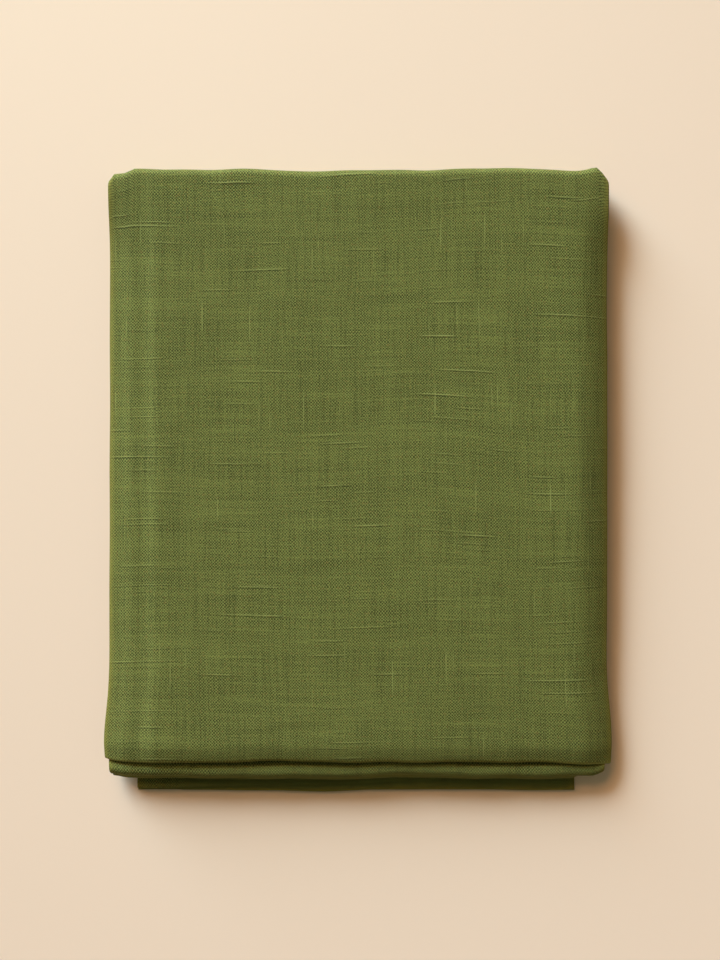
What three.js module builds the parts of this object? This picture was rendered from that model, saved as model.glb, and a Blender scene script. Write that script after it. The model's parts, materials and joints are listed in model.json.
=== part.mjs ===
// A linen tablecloth, folded for the cupboard.
//
// The cloth is first folded in four across its width, which makes a strip of four plies called a
// leaf. The strip is doubled at the middle of its length, which lays one leaf on the other, and the
// doubled strip is then folded to and fro like an accordion into four panels.
//
// Every panel is one rigid body and turns on the crease that it shares with the next panel. Each
// leaf of a panel is one solid: a ribbon that runs to and fro across the width, swept along the
// length and round the two quarter turns where it meets a crease.
//
// Millimetres, +X to the right edge, +Y to the back folds, +Z up. The origin is the middle of the
// face that the packet rests on.

import * as THREE from 'three';

// Driving dimensions of the folded packet.
const packetWidth = 351;
const packetLength = 440;

// The linen and the air between its plies.
const clothThickness = 0.36;
const plyGap = 0.14;
const hemRoom = 0.64;       // taller gap beside the ply that ends in the first long hem
const foldRadius = 0.25;    // inner radius where one leaf turns back on the next
const nodeGap = 0.3;        // air between two solids that meet end to end

// How far each front edge stands back from the longest one, the lower hemmed end.
const upperHemStep = 2.9;
const middleCreaseStep = 10;
const endFoldStep = 23.8;

// How far the lower back crease stands back from the upper one.
const lowerBackStep = 3;

// Insets of the side edges from the full width, at each place where the width is set.
const sideInsets = {
  hemmedEnd: { left: 17.5, right: 17.5 },
  crease12: { left: 5, right: 6 },
  crease23: { left: 1.5, right: 2.5 },
  crease34: { left: 0, right: 0 },
  endFold: { left: 0, right: 0 },
};

// The hems.
const firstHemInset = 31;     // from the left fold to the edge of the lower ply
const secondHemInset = 14;    // from the left fold to the edge of the ply beside it
const stitchInset = 9;        // from a long hem's edge to its line of stitches
const endHemWidth = 22;
const threadDiameter = 0.28;

// Facets of the round stretches.
const plyTurnSteps = 6;
const creaseTurnSteps = 5;
const threadSides = 6;

// Worked-out sizes.
const halfWidth = packetWidth / 2;
const halfLength = packetLength / 2;
const halfCloth = clothThickness / 2;
const plyPitch = clothThickness + plyGap;
const levels = [0, 1, 2, 3].map((ply) => (ply === 0 ? halfCloth : halfCloth + hemRoom + clothThickness
  + (ply - 1) * plyPitch));
const leafThickness = levels[3] + halfCloth;
const leafPitch = leafThickness + 2 * foldRadius;
const panelThickness = leafPitch + leafThickness;
const panelPitch = panelThickness + 2 * foldRadius + nodeGap;
const creaseRadius = panelThickness + foldRadius;
const endFoldRadius = leafThickness + foldRadius;

// Where the turning centres lie along the length.
const creaseCentreY = {
  crease12: halfLength - lowerBackStep - creaseRadius,
  crease23: -(halfLength - middleCreaseStep - creaseRadius),
  crease34: halfLength - creaseRadius,
};
const endFoldCentreY = -(halfLength - endFoldStep - endFoldRadius);

const linen = { color: 0x6f7040, roughness: 0.92, metalness: 0 };
const linenInside = { color: 0x66683b, roughness: 0.94, metalness: 0 };
const thread = { color: 0x7d7e4c, roughness: 0.7, metalness: 0 };

// --- Sections across the width --------------------------------------------------------------

// Points on an arc, each with the direction of travel there.
function arc(centreX, centreS, radius, startDegrees, endDegrees) {
  const turn = Math.sign(endDegrees - startDegrees);
  return Array.from({ length: plyTurnSteps + 1 }, (_, step) => {
    const share = step / plyTurnSteps;
    const angle = THREE.MathUtils.degToRad(THREE.MathUtils.lerp(startDegrees, endDegrees, share));
    return {
      x: centreX + radius * Math.cos(angle),
      s: centreS + radius * Math.sin(angle),
      dx: -turn * Math.sin(angle),
      ds: turn * Math.cos(angle),
    };
  });
}

// The middle line of the four plies. s is the height above the leaf's hem side. The line starts at
// the first hem, turns up round the outer right fold, comes back along the face ply, turns at the
// left fold, and turns once more inside the right fold to end at the second hem.
function leafMiddleLine(left, right) {
  const outerRadius = (levels[3] - levels[0]) / 2;
  const innerRadius = plyPitch / 2;
  const rightCentre = right - outerRadius - halfCloth;
  const leftCentre = left + innerRadius + halfCloth;
  return [
    { x: left + firstHemInset, s: levels[0], dx: 1, ds: 0 },
    ...arc(rightCentre, levels[0] + outerRadius, outerRadius, -90, 90),
    ...arc(leftCentre, levels[2] + innerRadius, innerRadius, 90, 270),
    ...arc(rightCentre, levels[1] + innerRadius, innerRadius, 90, -90),
    { x: left + secondHemInset, s: levels[1], dx: -1, ds: 0 },
  ];
}

// The closed outline of the ribbon round that middle line.
function leafSection(left, right) {
  const line = leafMiddleLine(left, right);
  const offset = (side) => line.map((point) => [
    point.x - side * halfCloth * point.ds,
    point.s + side * halfCloth * point.dx,
  ]);
  return [...offset(-1), ...offset(1).reverse()];
}

// A thread's round outline in the gap beside the first ply.
function threadSection(x) {
  const s = clothThickness + hemRoom / 2;
  const radius = threadDiameter / 2;
  return Array.from({ length: threadSides }, (_, corner) => {
    const angle = (2 * Math.PI * corner) / threadSides;
    return [x + radius * Math.cos(angle), s + radius * Math.sin(angle)];
  });
}

// --- Sweeping a section along the length ----------------------------------------------------

// A ring of a flat stretch at y.
function flatStation(y, edges) {
  return { edges, place: (x, z) => [x, y, z] };
}

// A ring that has turned round a centre. outward is +1 at the back and -1 at the front.
function turnedStation(centreY, centreZ, outward, degrees, edges) {
  const angle = THREE.MathUtils.degToRad(degrees);
  return {
    edges,
    place: (x, z) => [
      x,
      centreY + outward * Math.abs(z - centreZ) * Math.sin(angle),
      centreZ + (z - centreZ) * Math.cos(angle),
    ],
  };
}

// The rings of a turn from startDegrees to endDegrees, both included.
function turn(centreY, centreZ, outward, startDegrees, endDegrees, edges) {
  const steps = Math.max(1, Math.round((creaseTurnSteps * Math.abs(endDegrees - startDegrees)) / 90));
  return Array.from({ length: steps + 1 }, (_, step) => turnedStation(
    centreY,
    centreZ,
    outward,
    THREE.MathUtils.lerp(startDegrees, endDegrees, step / steps),
    edges,
  ));
}

function edgesAt(place) {
  return { left: -halfWidth + sideInsets[place].left, right: halfWidth - sideInsets[place].right };
}

function mixEdges(front, back, share) {
  return {
    left: THREE.MathUtils.lerp(front.left, back.left, share),
    right: THREE.MathUtils.lerp(front.right, back.right, share),
  };
}

function signedVolume(positions, triangles) {
  const corners = [new THREE.Vector3(), new THREE.Vector3(), new THREE.Vector3()];
  let volume = 0;
  for (let i = 0; i < triangles.length; i += 3) {
    corners.forEach((corner, k) => corner.fromArray(positions, 3 * triangles[i + k]));
    volume += corners[0].dot(corners[1].clone().cross(corners[2])) / 6;
  }
  return volume;
}

// One closed solid through a row of rings. sectionFor(edges) gives each ring's outline and
// heightOf(s) the height of its points before the ring is turned.
function sweep(stations, sectionFor, heightOf) {
  const positions = [];
  stations.forEach(({ edges, place }) => {
    sectionFor(edges).forEach(([x, s]) => positions.push(...place(x, heightOf(s))));
  });

  const firstSection = sectionFor(stations[0].edges);
  const count = firstSection.length;
  const triangles = [];
  for (let ring = 0; ring < stations.length - 1; ring += 1) {
    for (let corner = 0; corner < count; corner += 1) {
      const a = ring * count + corner;
      const b = ring * count + ((corner + 1) % count);
      triangles.push(a, b, b + count, a, b + count, a + count);
    }
  }

  const contour = firstSection.map(([x, s]) => new THREE.Vector2(x, s));
  const lastRing = (stations.length - 1) * count;
  const contourTurns = THREE.ShapeUtils.isClockWise(contour) ? -1 : 1;
  THREE.ShapeUtils.triangulateShape(contour, []).forEach(([a, b, c]) => {
    const [second, third] = contourTurns > 0 ? [c, b] : [b, c];
    triangles.push(a, second, third);
    triangles.push(lastRing + a, lastRing + third, lastRing + second);
  });

  if (signedVolume(positions, triangles) < 0) {
    triangles.reverse();
  }
  const geometry = new THREE.BufferGeometry();
  geometry.setAttribute('position', new THREE.Float32BufferAttribute(positions, 3));
  geometry.setIndex(triangles);
  geometry.computeVertexNormals();
  return geometry;
}

// --- The panels -----------------------------------------------------------------------------

// What each panel has at its front and back. A crease above the panel curls its end up.
const panels = [
  { number: 1, front: 'hemmedEnd', back: 'crease12' },
  { number: 2, front: 'crease23', back: 'crease12' },
  { number: 3, front: 'crease23', back: 'crease34' },
  { number: 4, front: 'endFold', back: 'crease34' },
];

function panelBase(number) {
  return (number - 1) * panelPitch;
}

// The centre height of the quarter turns that a panel has on one of its creases.
function creaseCentreZ(number, crease) {
  const creaseIsAbove = crease === `crease${number}${number + 1}`;
  return creaseIsAbove ? panelBase(number) + panelThickness + foldRadius : panelBase(number) - foldRadius;
}

// The rings of a panel's quarter turn, running outward from the flat.
function quarterTurn(number, crease, outward) {
  const centreZ = creaseCentreZ(number, crease);
  return turn(creaseCentreY[crease], centreZ, outward, 0, 90, edgesAt(crease));
}

// Where a leaf's own flat stretch ends at an open front.
function openFrontY(panel, isUpper) {
  if (panel.front === 'endFold') {
    return endFoldCentreY + nodeGap;
  }
  const step = isUpper ? upperHemStep : 0;
  return -halfLength + step + endHemWidth + nodeGap;
}

function leafStations(panel, isUpper) {
  const back = quarterTurn(panel.number, panel.back, 1);
  if (panel.front === 'crease23') {
    const front = quarterTurn(panel.number, panel.front, -1);
    return [...front.reverse(), ...back];
  }
  const backEdges = edgesAt(panel.back);
  const frontEdges = edgesAt(panel.front);
  const frontY = openFrontY(panel, isUpper);
  const share = panel.front === 'hemmedEnd' ? endHemWidth / packetLength : 0;
  return [flatStation(frontY, mixEdges(frontEdges, backEdges, share)), ...back];
}

// The lower leaf of a panel lies face down and the upper leaf face up, hem sides together.
function leafHeight(number, isUpper) {
  const base = panelBase(number);
  return isUpper ? (s) => base + leafPitch + s : (s) => base + leafThickness - s;
}

function namedMesh(name, geometry, look) {
  const mesh = new THREE.Mesh(geometry, new THREE.MeshStandardMaterial(look));
  mesh.name = name;
  return mesh;
}

function leafName(number, isUpper) {
  return `panel_${number}_${isUpper ? 'upper' : 'lower'}`;
}

function leafMesh(panel, isUpper) {
  const section = ({ left, right }) => leafSection(left, right);
  const geometry = sweep(leafStations(panel, isUpper), section, leafHeight(panel.number, isUpper));
  return namedMesh(`${leafName(panel.number, isUpper)}_leaf`, geometry, isUpper ? linen : linenInside);
}

function hemThreadMesh(panel, isUpper, hem) {
  const inset = hem === 'first' ? firstHemInset : secondHemInset;
  const section = ({ left }) => threadSection(left + inset + stitchInset);
  const geometry = sweep(leafStations(panel, isUpper), section, leafHeight(panel.number, isUpper));
  return namedMesh(`${leafName(panel.number, isUpper)}_${hem}_hem_thread`, geometry, thread);
}

// The band at the end of a leaf of panel 1, where the cloth's end is turned in and stitched.
function endHemMesh(isUpper) {
  const endY = -halfLength + (isUpper ? upperHemStep : 0);
  const endEdges = edgesAt('hemmedEnd');
  const innerEdges = mixEdges(endEdges, edgesAt('crease12'), endHemWidth / packetLength);
  const stations = [flatStation(endY, endEdges), flatStation(endY + endHemWidth, innerEdges)];
  const section = ({ left, right }) => leafSection(left, right);
  const geometry = sweep(stations, section, leafHeight(1, isUpper));
  return namedMesh(`${leafName(1, isUpper)}_end_hem`, geometry, linen);
}

// The half turn at the middle of the cloth's length, which joins the two leaves of panel 4.
function endFoldMesh() {
  const centreZ = panelBase(4) + leafThickness + foldRadius;
  const stations = turn(endFoldCentreY, centreZ, -1, 0, 180, edgesAt('endFold'));
  const section = ({ left, right }) => leafSection(left, right);
  return namedMesh('panel_4_end_fold', sweep(stations, section, leafHeight(4, false)), linen);
}

const tablecloth = new THREE.Group();
panels.forEach((panel) => {
  [false, true].forEach((isUpper) => {
    tablecloth.add(leafMesh(panel, isUpper));
    tablecloth.add(hemThreadMesh(panel, isUpper, 'first'));
    tablecloth.add(hemThreadMesh(panel, isUpper, 'second'));
  });
});
tablecloth.add(endHemMesh(false), endHemMesh(true), endFoldMesh());

export default tablecloth;
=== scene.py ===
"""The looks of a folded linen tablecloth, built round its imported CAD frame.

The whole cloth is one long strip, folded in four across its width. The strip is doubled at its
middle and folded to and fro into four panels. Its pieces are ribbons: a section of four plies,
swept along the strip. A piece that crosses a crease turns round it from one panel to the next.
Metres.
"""

import json
import math

import bpy
import numpy as np
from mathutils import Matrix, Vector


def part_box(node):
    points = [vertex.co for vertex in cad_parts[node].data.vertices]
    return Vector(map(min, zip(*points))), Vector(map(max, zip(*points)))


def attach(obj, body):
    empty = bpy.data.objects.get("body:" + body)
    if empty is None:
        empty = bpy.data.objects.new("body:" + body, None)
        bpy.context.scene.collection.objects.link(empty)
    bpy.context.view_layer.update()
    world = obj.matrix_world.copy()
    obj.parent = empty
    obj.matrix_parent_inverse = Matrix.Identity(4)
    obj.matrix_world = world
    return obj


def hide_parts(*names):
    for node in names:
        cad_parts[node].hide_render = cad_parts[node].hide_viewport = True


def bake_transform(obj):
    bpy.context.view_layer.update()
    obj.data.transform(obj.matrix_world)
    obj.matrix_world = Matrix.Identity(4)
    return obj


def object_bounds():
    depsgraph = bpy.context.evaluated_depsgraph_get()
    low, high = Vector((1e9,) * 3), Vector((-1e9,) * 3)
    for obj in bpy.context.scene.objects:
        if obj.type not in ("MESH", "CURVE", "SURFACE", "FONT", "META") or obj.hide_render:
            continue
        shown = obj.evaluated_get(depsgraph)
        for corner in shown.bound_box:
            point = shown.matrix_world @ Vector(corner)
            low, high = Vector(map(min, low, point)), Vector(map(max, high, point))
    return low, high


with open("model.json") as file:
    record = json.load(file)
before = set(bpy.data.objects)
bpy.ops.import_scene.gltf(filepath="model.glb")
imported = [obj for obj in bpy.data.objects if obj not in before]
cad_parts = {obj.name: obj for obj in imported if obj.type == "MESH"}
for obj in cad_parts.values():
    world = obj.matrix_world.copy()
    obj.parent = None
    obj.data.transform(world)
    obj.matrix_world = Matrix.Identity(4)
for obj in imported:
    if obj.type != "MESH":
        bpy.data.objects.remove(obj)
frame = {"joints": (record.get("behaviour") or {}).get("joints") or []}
cad_low, cad_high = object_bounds()

MM = 0.001

# --- Sizes of the cloth ---------------------------------------------------------------------

CLOTH = 0.27 * MM            # thickness of the visible linen
CAD_CLOTH = 0.36 * MM        # thickness that the frame's plies have
PLY_GAP = 0.14 * MM
FOLD_RADIUS = 0.25 * MM
FIRST_HEM_INSET = 31 * MM
SECOND_HEM_INSET = 14 * MM
END_HEM = 22 * MM
WARP_PITCH = 1.00 * MM       # from one lengthwise thread to the next
WEFT_PITCH = 1.04 * MM

# --- Places read from the frame -------------------------------------------------------------

joints = {joint["name"]: joint["pos_m"] for joint in frame["joints"]}
HEIGHT = cad_high.z - cad_low.z
PANEL_PITCH = joints["fold_2_3"][2] - joints["fold_1_2"][2]
PANEL = HEIGHT - 3 * PANEL_PITCH
LEAF = (PANEL - 2 * FOLD_RADIUS) / 2
LEAF_PITCH = LEAF + 2 * FOLD_RADIUS
JOINT_CLEARANCE = 0.1 * MM   # from a crease's outside to its axis
CREASE_RADIUS = PANEL + FOLD_RADIUS
HALF_GAP = (PANEL_PITCH - PANEL - 2 * FOLD_RADIUS) / 2
# The middles of the four plies over a leaf's hem side: the first hem's ply, then three above it.
LEVELS = [CAD_CLOTH / 2] + [LEAF - CAD_CLOTH / 2 - n * (CAD_CLOTH + PLY_GAP) for n in (2, 1, 0)]

APEX = {
    "fold_1_2": joints["fold_1_2"][1] - JOINT_CLEARANCE,
    "fold_2_3": joints["fold_2_3"][1] + JOINT_CLEARANCE,
    "fold_3_4": joints["fold_3_4"][1] - JOINT_CLEARANCE,
    "end_fold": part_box("panel_4_end_fold")[0].y,
    "lower_end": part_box("panel_1_lower_end_hem")[0].y,
    "upper_end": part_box("panel_1_upper_end_hem")[0].y,
}
CENTRE = {
    "fold_1_2": APEX["fold_1_2"] - CREASE_RADIUS,
    "fold_2_3": APEX["fold_2_3"] + CREASE_RADIUS,
    "fold_3_4": APEX["fold_3_4"] - CREASE_RADIUS,
    "end_fold": APEX["end_fold"] + LEAF + FOLD_RADIUS,
}
SIDES = {
    "end": (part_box("panel_1_lower_end_hem")[0].x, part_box("panel_1_lower_end_hem")[1].x),
    "fold_1_2": (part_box("panel_1_lower_leaf")[0].x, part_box("panel_1_lower_leaf")[1].x),
    "fold_2_3": (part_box("panel_2_lower_leaf")[0].x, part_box("panel_2_lower_leaf")[1].x),
    "fold_3_4": (cad_low.x, cad_high.x),
    "end_fold": (cad_low.x, cad_high.x),
}
PANEL_ENDS = {1: ("end", "fold_1_2"), 2: ("fold_2_3", "fold_1_2"),
              3: ("fold_2_3", "fold_3_4"), 4: ("end_fold", "fold_3_4")}


# --- Small curves ---------------------------------------------------------------------------

def smooth(low, high, value):
    """0 below low, 1 above high, and an even slope-free start and end between them."""
    share = np.clip((np.asarray(value, float) - low) / (high - low), 0, 1)
    return share * share * (3 - 2 * share)


def bump(value, centre, width):
    return np.exp(-(((np.asarray(value, float) - centre) / width) ** 2))


class Wander:
    """A smooth random line: a sum of a few sines with seeded phases, between about -1 and 1."""

    def __init__(self, seed, longest, count=5):
        random = np.random.default_rng(seed)
        uneven = random.uniform(0.9, 1.1, count)
        self.rates = 2 * math.pi / longest * (1.0 + 0.85 * np.arange(count)) * uneven
        self.phases = random.uniform(0, 2 * math.pi, count)
        self.sizes = 0.62 / (1 + 0.75 * np.arange(count))

    def __call__(self, value):
        value = np.asarray(value, float)[..., None]
        return (np.sin(value * self.rates + self.phases) * self.sizes).sum(-1)


class Relief:
    """A smooth random surface: plane waves in seeded directions, between about -1 and 1."""

    def __init__(self, seed, shortest, longest, count=26):
        random = np.random.default_rng(seed)
        length = np.exp(random.uniform(math.log(shortest), math.log(longest), count))
        turn = random.uniform(0, 2 * math.pi, count)
        self.kx = 2 * math.pi / length * np.cos(turn)
        self.ky = 2 * math.pi / length * np.sin(turn)
        self.phase = random.uniform(0, 2 * math.pi, count)
        self.size = length / length.sum() * 1.6

    def __call__(self, x, y):
        waves = np.sin(np.multiply.outer(x, self.kx) + np.multiply.outer(y, self.ky) + self.phase)
        return (waves * self.size).sum(-1)


# --- The strip's path -----------------------------------------------------------------------

FRONT_ZONE = APEX["end_fold"] + 18 * MM      # in front of this the folds need closer rings
FRONT_STEP = 1.7 * MM
END_RING = 0.3 * MM                          # from a cut end to the ring next to it


class Station:
    """One ring of the strip. A point at height s over the hem side lies at (y, z) + s * (sy, sz)."""

    def __init__(self, y, z, sy, sz, panel, along):
        self.y, self.z, self.sy, self.sz = y, z, sy, sz
        self.panel, self.along = panel, along


def base(panel):
    """The height of a panel's underside."""
    return cad_low.z + (panel - 1) * PANEL_PITCH


def flat(panel, side, y_from, y_to, step):
    """Rings of a flat stretch. side is lower, hem side up, or upper, hem side down."""
    low, high = min(y_from, y_to), max(y_from, y_to)
    z, sz = (base(panel) + LEAF, -1) if side == "lower" else (base(panel) + LEAF_PITCH, 1)
    crosses = low + FRONT_STEP < FRONT_ZONE < high - FRONT_STEP
    edges = [low, FRONT_ZONE, high] if crosses else [low, high]
    places = [low]
    for start, end in zip(edges, edges[1:]):
        stride = min(step, FRONT_STEP) if end <= FRONT_ZONE else step
        places += list(np.linspace(start, end, max(2, round((end - start) / stride) + 1))[1:])
    # A ring close to each cut end keeps the shading even right up to it.
    if low in (0, APEX["lower_end"], APEX["upper_end"]):
        places.insert(1, low + END_RING)
    if high == 0:
        places.insert(-1, -END_RING)
    places = places if y_from < y_to else places[::-1]
    return [(y, z, 0.0, sz, panel) for y in places]


def turn(name, lower_panel, outer, up, steps=7, gap_rings=9):
    """Rings of a half turn between two panels: two quarters, and the short stretch between them."""
    front = 1 if APEX[name] > 0 else -1
    centre = CENTRE[name]
    middle = base(lower_panel) + PANEL + FOLD_RADIUS + HALF_GAP
    radius, sign = (LEAF + 3 * FOLD_RADIUS, 1) if outer else (LEAF + FOLD_RADIUS, -1)
    rings = []
    for half in (-1, 1):
        panel = lower_panel if half < 0 else lower_panel + 1
        quarter = (-90, 0) if half < 0 else (0, 90)
        for angle in np.radians(np.linspace(*quarter, steps + 1)):
            cy, cz = front * math.cos(angle), math.sin(angle)
            z = middle + half * HALF_GAP + radius * cz
            rings.append((centre + radius * cy, z, sign * cy, sign * cz, panel))
        if half < 0:
            for share in np.linspace(-1, 1, gap_rings)[1:-1]:
                z = middle + share * HALF_GAP
                rings.append((centre + front * radius, z, sign * front, 0.0, lower_panel))
    return rings if up else rings[::-1]


def end_turn(steps=12):
    """Rings round the end fold, from the top panel's upper leaf down to its lower leaf."""
    middle = base(4) + LEAF + FOLD_RADIUS
    rings = []
    for angle in np.radians(np.linspace(90, -90, steps + 1)):
        cy, cz = -math.cos(angle), math.sin(angle)
        rings.append((CENTRE["end_fold"] + FOLD_RADIUS * cy, middle + FOLD_RADIUS * cz, cy, cz, 4))
    return rings


def strip_path(fine, coarse):
    """All rings of the strip from one end hem to the other, and where each piece starts."""
    c12, c23, c34 = CENTRE["fold_1_2"], CENTRE["fold_2_3"], CENTRE["fold_3_4"]
    e4 = CENTRE["end_fold"]
    parts = [
        ("lower_outer", flat(1, "lower", APEX["lower_end"], c12, coarse)
         + turn("fold_1_2", 1, True, True) + flat(2, "upper", c12, 0, coarse)),
        ("middle_inner", flat(2, "upper", 0, c23, coarse)
         + turn("fold_2_3", 2, False, True) + flat(3, "lower", c23, 0, coarse)),
        ("upper", flat(3, "lower", 0, c34, coarse)
         + turn("fold_3_4", 3, True, True) + flat(4, "upper", c34, e4, fine)
         + end_turn() + flat(4, "lower", e4, c34, coarse)
         + turn("fold_3_4", 3, False, False) + flat(3, "upper", c34, 0, coarse)),
        ("middle_outer", flat(3, "upper", 0, c23, coarse)
         + turn("fold_2_3", 2, True, False) + flat(2, "lower", c23, 0, coarse)),
        ("lower_inner", flat(2, "lower", 0, c12, coarse)
         + turn("fold_1_2", 1, False, False) + flat(1, "upper", c12, APEX["upper_end"], coarse)),
    ]
    made, along = {}, 0.0
    for name, rings in parts:
        stations, last = [], None
        for ring in rings:
            if last is not None:
                step = math.dist(ring[:2], last[:2])
                if step < 1e-7 and math.dist(ring[2:4], last[2:4]) < 1e-4:
                    continue
                along += along_step(ring, last)
            stations.append(Station(*ring, along))
            last = ring
        made[name] = stations
    return made


def along_step(ring, last):
    """The cloth's own length between two rings, measured at the middle of the leaf."""
    half = LEAF / 2
    here = (ring[0] + half * ring[2], ring[1] + half * ring[3])
    there = (last[0] + half * last[2], last[1] + half * last[3])
    step = math.dist(here, there)
    crossing = abs(ring[2]) > 0.999 and abs(last[2]) > 0.999
    # The stretch inside a crease is short while it is closed and opens into a round arch.
    return step * math.pi * CREASE_RADIUS / (4 * HALF_GAP) if crossing else step


# --- The section across the width -----------------------------------------------------------

class Column:
    """One point of the section: x is left + share * width + offset, at height s over the hem side."""

    def __init__(self, share, offset, s):
        self.share, self.offset, self.s = share, offset, s


def ply(start, end, s, fine, coarse, margin=45 * MM):
    """Columns of a straight ply between two (share, offset) ends, closer near both edges."""
    width = cad_high.x - cad_low.x
    length = abs((end[0] - start[0]) * width + end[1] - start[1])
    near = np.arange(fine, margin, fine)
    middle = np.linspace(margin, length - margin, max(2, round((length - 2 * margin) / coarse)))
    places = np.concatenate([near, middle, length - near[::-1]]) / length
    return [Column(start[0] + t * (end[0] - start[0]), start[1] + t * (end[1] - start[1]), s)
            for t in places]


def fold(share, centre, s, radius, start, end, steps):
    """Columns round a side fold, from one angle to another in degrees."""
    return [Column(share, centre + radius * math.cos(a), s + radius * math.sin(a))
            for a in np.radians(np.linspace(start, end, steps + 1))]


def section(face_step, hidden_step):
    """The four plies across the width, from the first hem's edge to the second hem's."""
    outer = (LEVELS[3] - LEVELS[0]) / 2
    inner = (LEVELS[2] - LEVELS[1]) / 2
    right, left = -(outer + CLOTH / 2), inner + CLOTH / 2
    edge = 5 * MM             # step of the hidden plies close to their sides
    columns = [Column(0, FIRST_HEM_INSET, LEVELS[0])]
    columns += ply((0, FIRST_HEM_INSET), (1, right), LEVELS[0], edge, hidden_step)
    columns += fold(1, right, LEVELS[0] + outer, outer, -90, 90, 10)
    columns += ply((1, right), (0, left), LEVELS[3], face_step, face_step)
    columns += fold(0, left, LEVELS[2] + inner, inner, 90, 270, 8)
    columns += ply((0, left), (1, right), LEVELS[2], edge, hidden_step)
    columns += fold(1, right, LEVELS[1] + inner, inner, 90, -90, 8)
    columns += ply((1, right), (0, SECOND_HEM_INSET), LEVELS[1], edge, hidden_step)
    columns.append(Column(0, SECOND_HEM_INSET, LEVELS[1]))
    return columns


def across(columns):
    """The cloth's own width up to each column."""
    width = cad_high.x - cad_low.x
    places = [(c.share * width + c.offset, c.s) for c in columns]
    steps = [math.dist(a, b) for a, b in zip(places, places[1:])]
    return np.concatenate([[0], np.cumsum(steps)])


# --- How the folded cloth settles -----------------------------------------------------------

SIDE_WANDER = [Wander(11, 0.31), Wander(12, 0.27)]
CREASE_WANDER = {name: Wander(21 + n, 0.17) for n, name in enumerate(CENTRE)}
HEM_WANDER = Wander(31, 0.23)
BROAD = Relief(41, 60 * MM, 190 * MM)
FINE = Relief(42, 9 * MM, 34 * MM, 40)
LOOSE_SIDE = 0.9 * MM         # how far a leaf's sides wander from the folded width
TOP_LOOSENESS = 0.35          # share of it that the top panel's sides wander
BACK_ZONE = (0.165, 0.212)    # between these y the back creases' shape fades in
FRONT_EDGE_ZONE = (-0.160, -0.200)   # the same for the front edges' shape
FLARE = 4.2 * MM              # the upper panels' sides stand out by this near the front
FLARE_PLACE = (-0.184, 0.034)        # middle and width of the flare, along y
HEMS_PART = 3.2 * MM          # the end hems' right ends stand apart by twice this
LOWER_HEM_RECEDES = 0.4       # how far each end hem stands back on the right, in millimetres
UPPER_HEM_RECEDES = 8.0
BROAD_HEIGHT = 0.55           # heights of the broad and the fine relief, in millimetres
FINE_HEIGHT = 0.16
CORNER_DROP = 3.4             # sets how low the front right corner lies, in millimetres
CORNER_START = 0.06           # how far from the middle, towards that corner, the fall starts
CORNER_REACH = 0.17           # the further distance over which it falls by CORNER_DROP
END_TIGHTNESS = 0.44          # share by which the end fold is pressed thinner
END_ROLL = 14 * MM            # length over which it is
# Steps under the left side, where the hems end: from, to and share of the height lost.
LEFT_STEPS = [(25 * MM, 34 * MM, 0.10), (6 * MM, 17 * MM, 0.08)]
# Slopes near a side: length, power and share of the height lost.
LEFT_SLOPES = [(4 * MM, 2, 0.05), (30 * MM, 2, 0.06)]
RIGHT_SLOPE = (24 * MM, 1.7, 0.33)
# Shares of that loss that stiff creases at the back and the front don't take part in.
BACK_STIFFNESS = 0.75
FRONT_STIFFNESS = 0.55
FRONT_THINNING = 0.07         # share of the height lost along the front
UPPER_GROOVE = (2.3, 2.9 * MM)       # depth in millimetres, and width
LOWER_GROOVE = (1.9, 2.8 * MM)
CREASE_SPRING = 1.3                  # rise of the free front crease, in millimetres
BACK_WANDER = 1.2 * MM               # how far the lower back crease wanders
# Puffs of the upper back crease: middle x, width, and how far they stand out in millimetres.
BACK_PUFFS = [(-0.155, 0.016, 1.5), (0.113, 0.024, 1.6), (0.167, 0.009, 2.6)]
# Shallow creases: middle x and y, turn in degrees, length, then width and height in millimetres.
TUCKS = [
    (-0.060, 0.125, 4, 0.095, 2.6, 0.35), (0.085, 0.030, -6, 0.120, 3.0, 0.30),
    (0.020, -0.060, 3, 0.140, 3.2, -0.35), (-0.095, -0.010, 86, 0.090, 2.8, 0.28),
    (0.110, -0.135, 80, 0.080, 3.0, -0.30), (-0.040, -0.165, 8, 0.110, 3.0, 0.35),
    (0.055, 0.175, 84, 0.060, 2.6, 0.25), (-0.130, 0.090, -82, 0.120, 2.8, -0.30),
]


def slope(distance, length, power, share):
    """A fall towards a side: share at the side itself, nothing beyond length."""
    return share * np.clip(1 - distance / length, 0, 1.1) ** power


def droop(x, y):
    """The share of its full height that the packet keeps near its sides and its front."""
    left = x - cad_low.x
    right = cad_high.x - x
    low = sum(share * (1 - smooth(start, end, left)) for start, end, share in LEFT_STEPS)
    low += sum(slope(left, *measures) for measures in LEFT_SLOPES)
    low += slope(right, *RIGHT_SLOPE)
    # The creases are stiffer than the panels, so they keep more of their height.
    stiff = BACK_STIFFNESS * smooth(0.155, 0.213, y)
    stiff += FRONT_STIFFNESS * smooth(-0.188, -0.209, y)
    end = APEX["end_fold"]
    thinner = FRONT_THINNING * smooth(end + 13 * MM, end - 3 * MM, y)
    return 1 - low * (1 - stiff) - thinner


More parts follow.
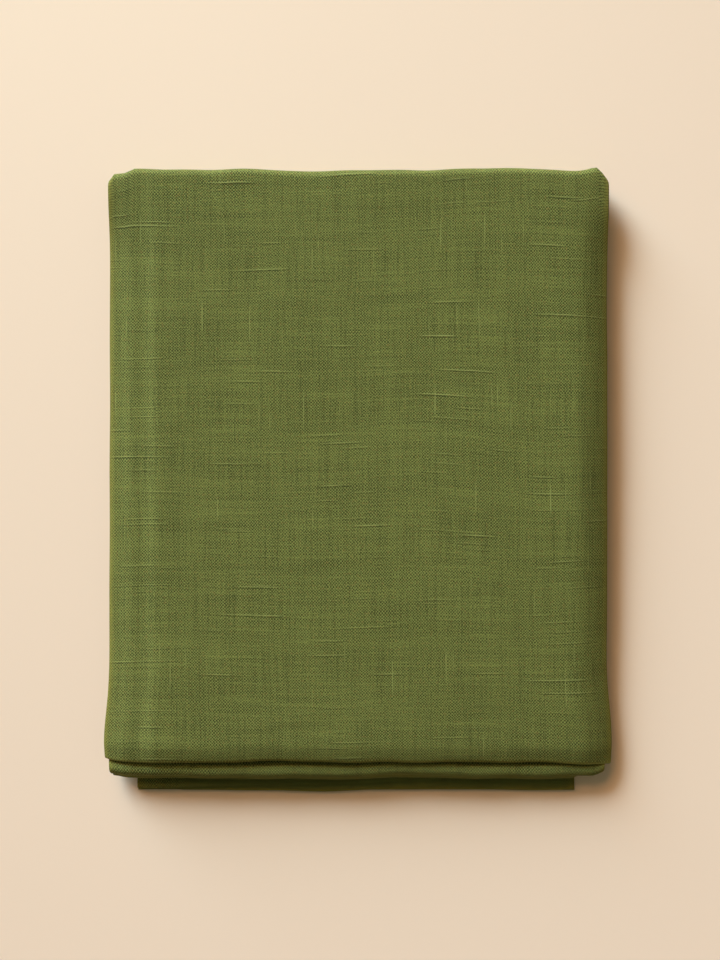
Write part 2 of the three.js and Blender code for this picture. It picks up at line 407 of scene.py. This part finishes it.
def settle(x, y, z, panel):
    """Moves points of the evenly folded cloth to where the settled cloth lies."""
    side = np.abs(x) / cad_high.x
    # Plan: puffy back creases, an uneven front, and sides that flare at the front.
    back = np.where(panel <= 2, CREASE_WANDER["fold_1_2"](x) * BACK_WANDER, back_edge(x))
    upper_hem = z > base(1) + LEAF + FOLD_RADIUS
    hem_edges = hem_edge(x, UPPER_HEM_RECEDES), hem_edge(x, LOWER_HEM_RECEDES)
    front = np.select([panel >= 4, panel >= 2, upper_hem],
                      [end_edge(x), middle_edge(x, z), hem_edges[0]], hem_edges[1])
    moved_y = y + back * smooth(*BACK_ZONE, y) + front * smooth(*FRONT_EDGE_ZONE, y)
    flare = FLARE * bump(y, *FLARE_PLACE) * smooth(0.55, 1.0, side)
    moved_x = x + np.sign(x) * flare * smooth(1.5, 3.5, panel)
    # The two end hems don't lie square on each other: their right ends part.
    part = HEMS_PART * smooth(-0.140, -0.205, y) * smooth(0.0, 0.157, x)
    moved_x = moved_x + np.select([(panel == 1) & upper_hem, panel == 1], [part, -part], 0.0)
    # Height: each step is gentle enough for the plies to keep their order.
    top = np.clip((z - cad_low.z) / HEIGHT, 0, 1)
    pressed = press(y, z, panel)
    moved_z = cad_low.z + (pressed - cad_low.z) * droop(x, y)
    return moved_x, moved_y, moved_z + relief(x, y) * MM * top ** 1.5


def relief(x, y):
    """The height of the top's broad and fine unevenness, in millimetres."""
    height = BROAD_HEIGHT * BROAD(x, y) + FINE_HEIGHT * FINE(x, y)
    for cx, cy, degrees, length, width, rise in TUCKS:
        c, s = math.cos(math.radians(degrees)), math.sin(math.radians(degrees))
        along = (x - cx) * c + (y - cy) * s
        over = -(x - cx) * s + (y - cy) * c
        height = height + rise * bump(along, 0, length / 2) * bump(over, 0, width * MM)
    # The packet is lowest in its front right corner.
    towards_corner = ((x - y) / math.sqrt(2) - CORNER_START) / CORNER_REACH
    return height - CORNER_DROP * np.clip(towards_corner, 0, 1.4) ** 2


def press(y, z, panel):
    """Heights after the front edges have pressed on each other."""
    # The end fold rolls off in front, and its lower side lifts from the panel below.
    near_end = np.clip(1 - (y - APEX["end_fold"]) / END_ROLL, 0, 1) ** 2
    tight = 1 - END_TIGHTNESS * near_end
    centre = base(4) + PANEL / 2
    pressed = np.where(panel >= 4, centre + (z - centre) * tight, z)
    return pressed - grooves(y, z, panel) * MM + crease_spring(y, z, panel) * MM


def grooves(y, z, panel):
    """How far the panels sink, in millimetres, under the edge that rests on them."""
    depth, width = UPPER_GROOVE
    upper = depth * bump(y, APEX["end_fold"], width) * np.clip((z - base(3)) / PANEL, 0, 1)
    depth, width = LOWER_GROOVE
    lower = depth * bump(y, APEX["fold_2_3"], width) * np.clip((z - base(1)) / PANEL, 0, 1)
    return np.select([panel == 3, panel == 1], [upper, lower], 0.0)


def crease_spring(y, z, panel):
    """How far the front crease springs up in front of the end fold, in millimetres."""
    end = APEX["end_fold"]
    rise = CREASE_SPRING * smooth(end - 1 * MM, end - 6 * MM, y)
    rise = rise * np.clip((z - base(2)) / (2 * PANEL), 0, 1)
    return np.where((panel == 2) | (panel == 3), rise, 0.0)


def back_edge(x):
    """The upper back crease: it wanders, puffs out in places and is rounded off at both corners."""
    edge = 0.9 * CREASE_WANDER["fold_3_4"](x) - 0.6
    edge += sum(height * bump(x, middle, width) for middle, width, height in BACK_PUFFS)
    edge -= 10.0 * np.clip((x - 0.1670) / 0.0095, 0, 1.2) ** 1.2
    edge -= 9.0 * np.clip((-0.1705 - x) / 0.006, 0, 1.2) ** 2.5
    # A step in from the puff on the left.
    edge -= 2.6 * smooth(-0.1575, -0.1635, x)
    return edge * MM


def end_edge(x):
    """The end fold's front edge: it reaches forward on the right, and its corners are cut back."""
    edge = 0.9 * CREASE_WANDER["end_fold"](x) - 2.6 * smooth(0.06, 0.17, x)
    edge += 2.8 * smooth(-0.168, -0.178, x) + 0.8 * smooth(0.172, 0.178, x)
    return edge * MM


def middle_edge(x, z):
    """The front crease: two soft lips with a groove between them. The upper one stands back."""
    middle = joints["fold_2_3"][2]
    above = smooth(middle - 0.8 * MM, middle + 2.2 * MM, z)
    edge = 0.8 * CREASE_WANDER["fold_2_3"](x) + 1.5 * bump(z, middle + 0.6 * MM, 1.2 * MM)
    edge += above * (1.9 + 0.5 * CREASE_WANDER["end_fold"](x + 0.1))
    edge += (1 - above) * 5.0 * smooth(0.150, 0.163, x) + 3.0 * smooth(0.163, 0.173, x)
    edge += 1.6 * smooth(-0.163, -0.174, x)
    return edge * MM


def hem_edge(x, recede):
    """An end hem's front edge, which stands back towards the right by recede millimetres."""
    return (0.7 * HEM_WANDER(x + recede) + recede * smooth(-0.11, 0.165, x) ** 0.9) * MM


# --- Meshes ---------------------------------------------------------------------------------

def ends_of(panel, y):
    """Left and right edge of a panel at y, before it settles."""
    front, back = PANEL_ENDS[panel]
    y_front = APEX["lower_end"] if front == "end" else APEX[front]
    share = np.clip((y - y_front) / (APEX[back] - y_front), 0, 1)
    return [SIDES[front][n] + share * (SIDES[back][n] - SIDES[front][n]) for n in (0, 1)]


def edge_highlight(points, left, right, panel):
    """How close points lie to a fold's edge, from 0 to 1: the mask of a painted highlight, the yellow
    glow where light catches the fold edges and shines through the thin cloth.
    """
    front = PANEL_ENDS[panel][0]
    y_front = APEX["lower_end"] if front == "end" else APEX[front]
    sides = bump(points[:, 0], left, 2.9 * MM) + bump(points[:, 0], right, 3.2 * MM)
    return np.clip(sides + bump(points[:, 1], y_front, 1.7 * MM), 0, 1)


def ribbon(name, stations, columns, material):
    """A ribbon mesh of evenly folded cloth, with its flat cloth coordinates as UV."""
    rows, cols = len(stations), len(columns)
    points = np.zeros((rows, cols, 3))
    share = np.array([c.share for c in columns])
    offset = np.array([c.offset for c in columns])
    s = np.array([c.s for c in columns])
    # crease holds the mask of the painted highlight along the fold edges.
    crease = np.zeros((rows, cols))
    for r, ring in enumerate(stations):
        left, right = ends_of(ring.panel, ring.y)
        loose = LOOSE_SIDE * (TOP_LOOSENESS if ring.panel == 4 else 1.0)
        left += loose * (1 + SIDE_WANDER[0](ring.along))
        right -= loose * (1 + SIDE_WANDER[1](ring.along))
        points[r, :, 0] = left + share * (right - left) + offset
        points[r, :, 1] = ring.y + s * ring.sy
        points[r, :, 2] = ring.z + s * ring.sz
        crease[r] = edge_highlight(points[r], left, right, ring.panel)
    mesh = bpy.data.meshes.new(name)
    index = np.arange(rows * cols).reshape(rows, cols)
    quads = np.stack([index[:-1, :-1], index[:-1, 1:], index[1:, 1:], index[1:, :-1]], -1)
    mesh.from_pydata(points.reshape(-1, 3).tolist(), [], quads.reshape(-1, 4).tolist())
    mesh.polygons.foreach_set("use_smooth", [True] * len(mesh.polygons))
    u, v = across(columns), np.array([ring.along for ring in stations])
    uv = np.stack(np.meshgrid(v, u, indexing="ij")[::-1], -1).reshape(-1, 2)
    layer = mesh.uv_layers.new(name="cloth")
    corner = np.zeros(len(mesh.loops), np.int32)
    mesh.loops.foreach_get("vertex_index", corner)
    layer.data.foreach_set("uv", uv[corner].ravel().astype(np.float32))
    # The crease attribute carries the painted highlight's mask to the material.
    mesh.attributes.new("crease", "FLOAT", "POINT").data.foreach_set("value", crease.ravel())
    mesh.materials.append(material)
    piece = bpy.data.objects.new(name, mesh)
    bpy.context.scene.collection.objects.link(piece)
    panels = np.repeat([ring.panel for ring in stations], cols)
    return piece, panels


def shape(piece, panels):
    """Settles a piece's points in place. Their number and order stay as they were."""
    mesh = piece.data
    co = np.zeros(len(mesh.vertices) * 3, np.float32)
    mesh.vertices.foreach_get("co", co)
    x, y, z = co.reshape(-1, 3).astype(float).T
    moved = np.stack(settle(x, y, z, panels), -1)
    mesh.vertices.foreach_set("co", moved.ravel().astype(np.float32))
    mesh.update()


def thicken(piece, thickness=CLOTH):
    """Gives a ribbon the cloth's thickness, half of it to each side."""
    solid = piece.modifiers.new("thickness", "SOLIDIFY")
    solid.thickness = thickness
    solid.offset = 0
    solid.use_rim = True


# --- Materials ------------------------------------------------------------------------------

def linear(red, green, blue):
    """A display colour from 0 to 255 as the shader's linear colour."""
    channels = [c / 255 for c in (red, green, blue)]
    return [c / 12.92 if c <= 0.04045 else ((c + 0.055) / 1.055) ** 2.4 for c in channels] + [1]


class Tree:
    """Short names for making shader nodes."""

    def __init__(self, name):
        self.material = bpy.data.materials.new(name)
        self.material.use_nodes = True
        self.nodes = self.material.node_tree.nodes
        self.links = self.material.node_tree.links
        self.shader = self.nodes["Principled BSDF"]

    def put(self, socket, value):
        if isinstance(value, bpy.types.NodeSocket):
            self.links.new(value, socket)
        else:
            socket.default_value = value

    def math(self, operation, a, b=0.0, c=0.0):
        node = self.nodes.new("ShaderNodeMath")
        node.operation = operation
        for socket, value in zip(node.inputs, (a, b, c)):
            self.put(socket, value)
        return node.outputs[0]

    def noise(self, x, y, seed, detail=1.0):
        place = self.nodes.new("ShaderNodeCombineXYZ")
        self.put(place.inputs[0], x)
        self.put(place.inputs[1], y)
        self.put(place.inputs[2], float(seed))
        node = self.nodes.new("ShaderNodeTexNoise")
        node.inputs["Scale"].default_value = 1.0
        node.inputs["Detail"].default_value = detail
        self.links.new(place.outputs[0], node.inputs["Vector"])
        return node.outputs["Fac"]

    def step(self, value, low, high):
        node = self.nodes.new("ShaderNodeMapRange")
        node.interpolation_type = "SMOOTHSTEP"
        self.put(node.inputs["Value"], value)
        node.inputs["From Min"].default_value = low
        node.inputs["From Max"].default_value = high
        return node.outputs["Result"]

    def mix(self, share, a, b):
        node = self.nodes.new("ShaderNodeMix")
        node.data_type = "RGBA"
        self.put(node.inputs[0], share)
        self.put(node.inputs[6], a)
        self.put(node.inputs[7], b)
        return node.outputs[2]

    def attribute(self, name):
        node = self.nodes.new("ShaderNodeAttribute")
        node.attribute_name = name
        return node.outputs["Fac"]

    def cloth_places(self):
        uv = self.nodes.new("ShaderNodeUVMap")
        uv.uv_map = "cloth"
        split = self.nodes.new("ShaderNodeSeparateXYZ")
        self.links.new(uv.outputs[0], split.inputs[0])
        return split.outputs[0], split.outputs[1]


LINEN_LIGHT = linear(127, 135, 71)
LINEN_DARK = linear(49, 54, 19)
LINEN_SLUB = linear(150, 158, 94)
LINEN_SPECK = linear(122, 104, 54)
# Painted highlight: the yellow glow on fold edges, where light catches them and shines through the
# thin cloth.
LINEN_EDGE_HIGHLIGHT = linear(126, 116, 44)


def linen_material(name):
    """Plain-woven linen: uneven threads, slubs with a painted shadow below them, bands and flecks,
    with painted shade on the weave and a painted highlight on the fold edges.
    """
    t = Tree(name)
    u, v = t.cloth_places()
    # The weft isn't quite straight in the cloth.
    bow = t.noise(t.math("MULTIPLY", u, 6.0), t.math("MULTIPLY", v, 5.0), 43)
    v = t.math("MULTIPLY_ADD", bow, 14 * MM, v)
    warp = t.math("MULTIPLY", u, 1 / WARP_PITCH)
    weft = t.math("MULTIPLY", v, 1 / WEFT_PITCH)
    # Threads wander a little, and each has its own thickness along its run.
    warp_lean = t.noise(t.math("MULTIPLY", warp, 0.22), t.math("MULTIPLY", weft, 0.05), 3)
    weft_lean = t.noise(t.math("MULTIPLY", warp, 0.05), t.math("MULTIPLY", weft, 0.22), 5)
    warp = t.math("MULTIPLY_ADD", warp_lean, 1.3, warp)
    weft = t.math("MULTIPLY_ADD", weft_lean, 1.3, weft)
    warp_wave = t.math("SINE", t.math("MULTIPLY", warp, math.pi))
    weft_wave = t.math("SINE", t.math("MULTIPLY", weft, math.pi))
    # Painted light at the thread scale: pillow darkens the gaps between the threads, where shade
    # falls, and over makes the warp floats lighter than the weft floats, as the light falls on them.
    cell = t.math("MULTIPLY", warp_wave, weft_wave)
    pillow = t.math("POWER", t.math("ABSOLUTE", cell), 0.55)
    over = t.step(cell, -0.12, 0.12)
    # One tone for each thread, drawn out along it.
    warp_tone = t.noise(t.math("MULTIPLY", warp, 0.83), t.math("MULTIPLY", weft, 0.022), 11)
    weft_tone = t.noise(t.math("MULTIPLY", warp, 0.018), t.math("MULTIPLY", weft, 0.87), 13)
    mixed = t.math("ADD", t.math("MULTIPLY", over, warp_tone),
                   t.math("MULTIPLY", t.math("SUBTRACT", 1.0, over), weft_tone))
    # Broader bands across and along the cloth, and cloudy dye.
    bands = t.noise(t.math("MULTIPLY", u, 9.0), t.math("MULTIPLY", v, 92.0), 17, 2.0)
    stripes = t.noise(t.math("MULTIPLY", u, 105.0), t.math("MULTIPLY", v, 8.0), 19, 2.0)
    cloud = t.noise(t.math("MULTIPLY", u, 22.0), t.math("MULTIPLY", v, 22.0), 23, 2.0)
    # Slubs: thick soft stretches of single weft threads, and fewer in the warp.
    slub_place = t.math("MULTIPLY", u, 13.0)
    slub_field = t.noise(slub_place, t.math("MULTIPLY", v, 780.0), 29)
    slub = t.step(slub_field, 0.700, 0.760)
    below = t.noise(slub_place, t.math("MULTIPLY_ADD", v, 780.0, -0.85), 29)
    shade = t.step(below, 0.680, 0.745)
    long_field = t.noise(t.math("MULTIPLY", u, 780.0), t.math("MULTIPLY", v, 17.0), 31)
    long_slub = t.step(long_field, 0.715, 0.78)
    fleck_field = t.noise(t.math("MULTIPLY", u, 520.0), t.math("MULTIPLY", v, 520.0), 37)
    fleck = t.step(fleck_field, 0.56, 0.72)
    fibre = t.noise(t.math("MULTIPLY", u, 980.0), t.math("MULTIPLY", v, 940.0), 41)
    # Colour, from the sum of the tones: each is a field, its middle and its weight. Over and pillow
    # add painted shade to the weave, and shade is the painted shadow below the slubs.
    value = 0.5
    for field, middle, weight in (
        (over, 0.5, 0.84), (pillow, 0.62, 0.34), (mixed, 0.5, 1.25), (bands, 0.5, 0.36),
        (stripes, 0.5, 0.27), (cloud, 0.5, 0.12), (shade, 0.0, -0.72), (fibre, 0.5, 1.65),
    ):
        value = t.math("ADD", value, t.math("MULTIPLY", t.math("SUBTRACT", field, middle), weight))
    colour = t.mix(value, LINEN_DARK, LINEN_LIGHT)
    colour = t.mix(t.math("MULTIPLY", fleck, 0.40), colour, LINEN_SPECK)
    thick = t.math("MAXIMUM", t.math("MULTIPLY", slub, 0.66), t.math("MULTIPLY", long_slub, 0.52))
    colour = t.mix(thick, colour, LINEN_SLUB)
    # Painted highlight on the fold edges: lighter and yellower where light catches them and shines
    # through the thin cloth.
    colour = t.mix(t.math("MULTIPLY", t.attribute("crease"), 0.52), colour, LINEN_EDGE_HIGHLIGHT)
    height = t.math("MULTIPLY_ADD", slub, 0.9, pillow)
    height = t.math("MULTIPLY_ADD", long_slub, 0.7, height)
    height = t.math("MULTIPLY_ADD", mixed, 0.8, height)
    relief = t.nodes.new("ShaderNodeBump")
    relief.inputs["Strength"].default_value = 0.75
    relief.inputs["Distance"].default_value = 0.16 * MM
    t.links.new(height, relief.inputs["Height"])
    t.links.new(relief.outputs[0], t.shader.inputs["Normal"])
    t.links.new(colour, t.shader.inputs["Base Color"])
    t.links.new(t.math("MULTIPLY_ADD", pillow, -0.10, 0.96), t.shader.inputs["Roughness"])
    t.shader.inputs["Specular IOR Level"].default_value = 0.22
    t.shader.inputs["Sheen Weight"].default_value = 0.10
    t.shader.inputs["Sheen Roughness"].default_value = 0.45
    t.shader.inputs["Sheen Tint"].default_value = linear(190, 190, 120)
    return t.material


def thread_material():
    """Spun sewing thread, with its twist as a slanting stripe."""
    t = Tree("sewing_thread")
    u, v = t.cloth_places()
    twist = t.math("SINE", t.math("ADD", t.math("MULTIPLY", u, 9.0), t.math("MULTIPLY", v, 5200.0)))
    colour = t.mix(t.math("MULTIPLY_ADD", twist, 0.5, 0.5), linear(98, 104, 54), linear(142, 146, 86))
    t.links.new(colour, t.shader.inputs["Base Color"])
    relief = t.nodes.new("ShaderNodeBump")
    relief.inputs["Strength"].default_value = 0.5
    relief.inputs["Distance"].default_value = 0.05 * MM
    t.links.new(twist, relief.inputs["Height"])
    t.links.new(relief.outputs[0], t.shader.inputs["Normal"])
    t.shader.inputs["Roughness"].default_value = 0.6
    return t.material


# --- Pieces ---------------------------------------------------------------------------------

FACE_STEP = 3.6 * MM
HIDDEN_STEP = 16 * MM
COARSE_ROW = 9 * MM
END_HEM_THICKNESS = 0.40 * MM
STITCH_PITCH = 4.5 * MM
STITCH_MARGIN = 3 * MM
STITCH_HALF_LENGTH = 1.5 * MM
THREAD_RADIUS = 0.11 * MM
linen = linen_material("linen_weave")
thread = thread_material()
columns = section(FACE_STEP, HIDDEN_STEP)
paths = strip_path(FACE_STEP, COARSE_ROW)

CLOTHS = {
    "lower_outer": ("panel_1", "panel_2", "fold_1_2", ["panel_1_lower_leaf", "panel_2_upper_leaf"]),
    "lower_inner": ("panel_1", "panel_2", "fold_1_2", ["panel_1_upper_leaf", "panel_2_lower_leaf"]),
    "middle_inner": ("panel_2", "panel_3", "fold_2_3", ["panel_2_upper_leaf", "panel_3_lower_leaf"]),
    "middle_outer": ("panel_2", "panel_3", "fold_2_3", ["panel_2_lower_leaf", "panel_3_upper_leaf"]),
    "upper": ("panel_3", "panel_4", "fold_3_4",
              ["panel_3_lower_leaf", "panel_3_upper_leaf", "panel_4_lower_leaf",
               "panel_4_upper_leaf", "panel_4_end_fold"]),
}


def make_cloth(key):
    """One length of the cloth, which turns round its crease. Its flat layout places the crease
    exactly.
    """
    low_body, high_body, joint, nodes = CLOTHS[key]
    piece, panels = ribbon(key + "_cloth", paths[key], columns, linen)
    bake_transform(piece)
    shape(piece, panels)
    thicken(piece)
    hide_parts(*nodes)
    return piece


def make_floor():
    reach = 40.0
    mesh = bpy.data.meshes.new("floor")
    corners = [(-reach, -reach, 0), (reach, -reach, 0), (reach, reach, 0), (-reach, reach, 0)]
    mesh.from_pydata(corners, [], [(0, 1, 2, 3)])
    t = Tree("pale_card")
    t.shader.inputs["Base Color"].default_value = linear(233, 211, 193)
    t.shader.inputs["Roughness"].default_value = 0.95
    t.shader.inputs["Specular IOR Level"].default_value = 0.1
    mesh.materials.append(t.material)
    floor = bpy.data.objects.new("floor", mesh)
    floor.location.z = cad_low.z - 0.05 * MM
    bpy.context.scene.collection.objects.link(floor)


def aim(lamp, place):
    """Puts a lamp at a place, facing the middle of the floor."""
    lamp.location = place
    direction = -lamp.location.normalized()
    lamp.rotation_euler = direction.to_track_quat("-Z", "Y").to_euler()
    bpy.context.scene.collection.objects.link(lamp)


def make_sun(name, energy, angle, colour, place):
    sun = bpy.data.lights.new(name, "SUN")
    sun.energy = energy
    sun.angle = math.radians(angle)
    sun.color = colour
    aim(bpy.data.objects.new(name, sun), place)


def make_light():
    """Low over the cloth from the back left: a cool light, a broad warm one and a near window."""
    make_sun("key", 5.6, 30, (0.48, 0.81, 1.0), (-3.75, 5.1, 2.15))
    make_sun("wall", 3.7, 60, (1.0, 0.54, 0.255), (-3.2, 5.4, 2.45))
    near = bpy.data.lights.new("window", "AREA")
    near.shape = "DISK"
    near.size = 0.7
    near.energy = 4.3
    near.spread = math.radians(105)
    near.color = (0.81, 1.0, 0.95)
    aim(bpy.data.objects.new("window", near), (-0.7, 1.35, 0.85))
    world = bpy.data.worlds.new("warm_room")
    world.use_nodes = True
    background = world.node_tree.nodes["Background"]
    background.inputs[0].default_value = (1.0, 0.936, 0.613, 1.0)
    background.inputs[1].default_value = 0.175
    bpy.context.scene.world = world
    bpy.context.scene.view_settings.view_transform = "Standard"


LENS = 47.1                   # millimetres, as is the sensor
SENSOR = 36
CAMERA_HEIGHT = 0.900


def make_camera():
    """A camera that looks straight down at the packet."""
    data = bpy.data.cameras.new("camera")
    data.lens = LENS
    data.sensor_width = SENSOR
    camera = bpy.data.objects.new("camera", data)
    middle = (cad_low + cad_high) / 2
    camera.location = (middle.x + 0.9 * MM, middle.y + 1.8 * MM, cad_low.z + CAMERA_HEIGHT)
    bpy.context.scene.collection.objects.link(camera)
    bpy.context.scene.camera = camera


def make_end_hem(key, stations, node):
    """The turned-in hem at one end of the cloth, over its last stretch."""
    piece, panels = ribbon(key, stations, columns, linen)
    shape(piece, panels)
    thicken(piece, END_HEM_THICKNESS)
    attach(piece, "panel_1")
    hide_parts(node)
    return piece


def make_end_hems():
    lower = [s for s in paths["lower_outer"] if s.panel == 1 and s.along < END_HEM]
    last = paths["lower_inner"][-1].along
    upper = [s for s in paths["lower_inner"] if s.along > last - END_HEM]
    return [make_end_hem("lower_end_hem", lower, "panel_1_lower_end_hem"),
            make_end_hem("upper_end_hem", upper, "panel_1_upper_end_hem")]


def dash(points, faces, uvs, centre):
    """One stitch along y: a thread's short arch, round in section and tapered at both ends."""
    sides, rings = 6, 5
    first = len(points)
    for r in range(rings):
        along = -1 + 2 * r / (rings - 1)
        thin = THREAD_RADIUS * (1 - 0.75 * along ** 4)
        arch = THREAD_RADIUS * 0.6 * (1 - along ** 2)
        y = along * STITCH_HALF_LENGTH
        for n in range(sides):
            a = 2 * math.pi * n / sides
            offset = (thin * math.cos(a), y, thin * math.sin(a) + arch)
            points.append([c + o for c, o in zip(centre, offset)])
            uvs.append((n, y))
    for r in range(rings - 1):
        for n in range(sides):
            a, b = first + r * sides + n, first + r * sides + (n + 1) % sides
            faces.append((a, b, b + sides, a + sides))
    faces.append(tuple(first + n for n in reversed(range(sides))))
    faces.append(tuple(first + (rings - 1) * sides + n for n in range(sides)))


def stitch_row(name, places, panel):
    """One row of stitches as a piece that rides on its panel."""
    points, faces, uvs = [], [], []
    for centre in places:
        dash(points, faces, uvs, centre)
    mesh = bpy.data.meshes.new(name)
    mesh.from_pydata(points, [], faces)
    mesh.polygons.foreach_set("use_smooth", [True] * len(mesh.polygons))
    layer = mesh.uv_layers.new(name="cloth")
    for loop in mesh.loops:
        layer.data[loop.index].uv = uvs[loop.vertex_index]
    mesh.materials.append(thread)
    piece = bpy.data.objects.new(name, mesh)
    bpy.context.scene.collection.objects.link(piece)
    shape(piece, np.full(len(points), panel))
    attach(piece, f"panel_{panel}")
    return piece


def make_hem_stitches(panel, side, hem):
    """The stitches of a long hem in one leaf, which stand for the frame's straight thread."""
    node = f"panel_{panel}_{side}_{hem}_hem_thread"
    low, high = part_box(node)
    x, z = (low.x + high.x) / 2, (low.z + high.z) / 2
    row = np.arange(low.y + STITCH_MARGIN, high.y - STITCH_MARGIN, STITCH_PITCH)
    places = [(x, y, z) for y in row]
    piece = stitch_row(f"panel_{panel}_{side}_{hem}_hem_stitches", places, panel)
    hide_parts(node)


make_camera()
make_floor()
make_light()
cloths = {key: make_cloth(key) for key in CLOTHS}
hems = make_end_hems()
for panel in (1, 2, 3, 4):
    for side in ("lower", "upper"):
        for hem in ("first", "second"):
            make_hem_stitches(panel, side, hem)
